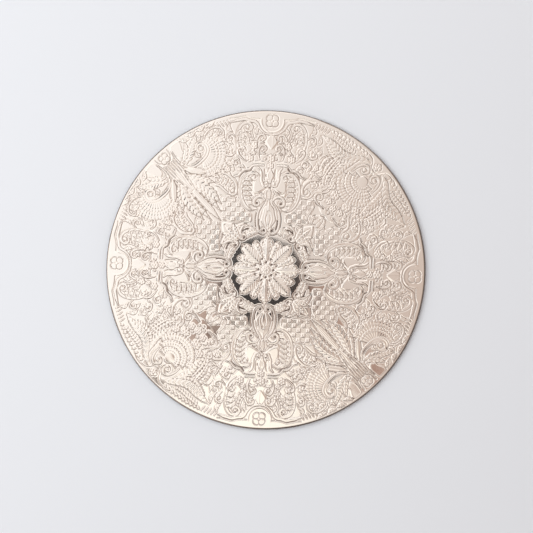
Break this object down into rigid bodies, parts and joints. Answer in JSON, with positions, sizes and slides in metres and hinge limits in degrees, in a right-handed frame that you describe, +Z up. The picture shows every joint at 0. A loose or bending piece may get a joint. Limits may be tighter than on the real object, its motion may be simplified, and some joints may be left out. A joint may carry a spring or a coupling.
{
  "type": "round table mat",
  "caption": "Round silver-plated table mat, pressed all over with scrolls, shells and leaves round a rosette, on a felt-backed board.",
  "frame": {"origin": "centre of the underside, on the surface that the mat stands on", "axes": "+Z up through the ornament; +Y through the middle of one of the four identical bud motifs, which also stand on +X, -X and -Y; the scallop-shell diagonals are at 135 and 315 degrees from +X"},
  "size_m": [0.254, 0.254, 0.0047],
  "materials": {
    "plated_sheet": "gloss",
    "adhesive": "satin",
    "hardboard": "matte",
    "felt": "matte"
  },
  "bodies": {
    "root": {"face_plate": "plated_sheet", "face_glue": "adhesive", "core_board": "hardboard", "felt_glue": "adhesive", "felt_backing": "felt"}
  },
  "joints": []
}
